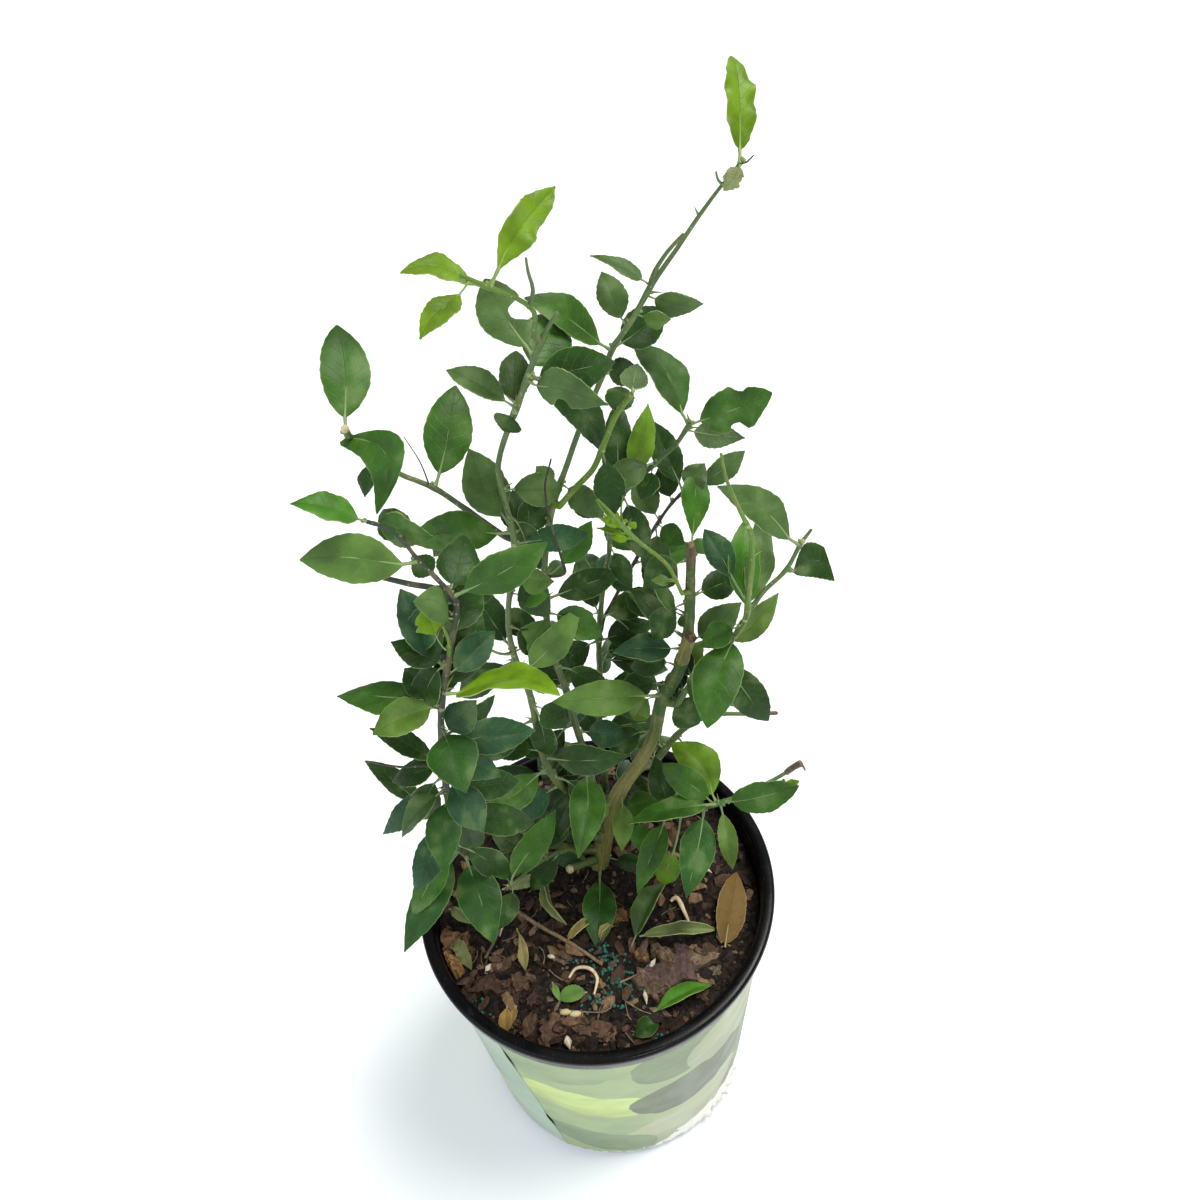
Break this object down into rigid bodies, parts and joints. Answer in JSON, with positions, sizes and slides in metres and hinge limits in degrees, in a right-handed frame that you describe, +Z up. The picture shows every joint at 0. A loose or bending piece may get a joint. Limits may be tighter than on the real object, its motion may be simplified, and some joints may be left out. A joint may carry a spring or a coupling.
{
  "type": "potted limequat",
  "caption": "Multi-stemmed limequat shrub with leathery oval leaves, growing in soil in a tapered black nursery pot with a printed sleeve; it stands on the pot's flat base.",
  "frame": {"origin": "centre of the pot's flat base, on the surface that the pot stands on", "axes": "+Z up along the pot's axis, -Y towards the front of the picture, +X to its right"},
  "size_m": [0.2202, 0.2, 0.5672],
  "materials": {
    "pot_plastic": "satin black moulded plastic",
    "printed_film": "satin printed plastic film in pale and dark greens",
    "soil": "moist dark potting mix with bark",
    "bark": "rough bark chips and a dry leaf",
    "old_bark": "olive-tan young bark",
    "green_stem": "smooth green shoots",
    "leaf": "leathery, semi-gloss dark green",
    "young_leaf": "glossy lime green"
  },
  "bodies": {
    "root": {"bark_chunk": "bark", "bark_plate": "bark", "cut_left_branch": "green_stem", "cut_right_branch": "green_stem", "dark_middle_twig": "green_stem", "dry_leaf": "bark", "far_left_stem": "green_stem", "leaf_centre_hanging": "leaf", "leaf_centre_left": "leaf", "leaf_centre_right": "leaf", "leaf_crown": "young_leaf", "leaf_far_left_fold": "leaf", "leaf_far_left_tip": "leaf", "leaf_far_left_upper": "leaf", "leaf_left_glossy": "leaf", "leaf_left_inner": "leaf", "leaf_left_long": "leaf", "leaf_left_outer": "leaf", "leaf_left_point": "leaf", "leaf_lime_folded": "young_leaf", "leaf_lime_small": "young_leaf", "leaf_lime_twisted": "young_leaf", "leaf_low_left_broad": "leaf", "leaf_low_left_hanging": "leaf", "leaf_low_left_olive": "leaf", "leaf_low_left_outer": "leaf", "leaf_low_left_reach": "leaf", "leaf_low_right_hanging": "leaf", "leaf_low_right_lime": "leaf", "leaf_low_right_outer": "leaf", "leaf_low_shoot": "leaf", "leaf_middle_pale": "leaf", "leaf_outer_right": "leaf", "leaf_outer_right_cut": "leaf", "leaf_right_arched": "leaf", "leaf_right_bitten": "leaf", "leaf_right_broad": "leaf", "leaf_right_side": "leaf", "leaf_right_upright": "leaf", "leaf_rim_broad": "leaf", "leaf_rim_left": "leaf", "leaf_top_lower": "leaf", "leaf_top_middle": "leaf", "leaf_top_notched": "leaf", "leaf_trunk_foot": "leaf", "left_main_stem": "green_stem", "low_left_stem": "green_stem", "low_right_stem": "green_stem", "low_shoot": "green_stem", "middle_stem": "green_stem", "nursery_pot": "pot_plastic", "outer_right_stem": "green_stem", "potting_soil": "soil", "printed_sleeve": "printed_film", "right_stem": "green_stem", "tall_stem": "green_stem", "top_left_twig": "green_stem", "trunk": "old_bark", "yellow_shoot": "green_stem", "young_shoot": "green_stem"}
  },
  "joints": []
}
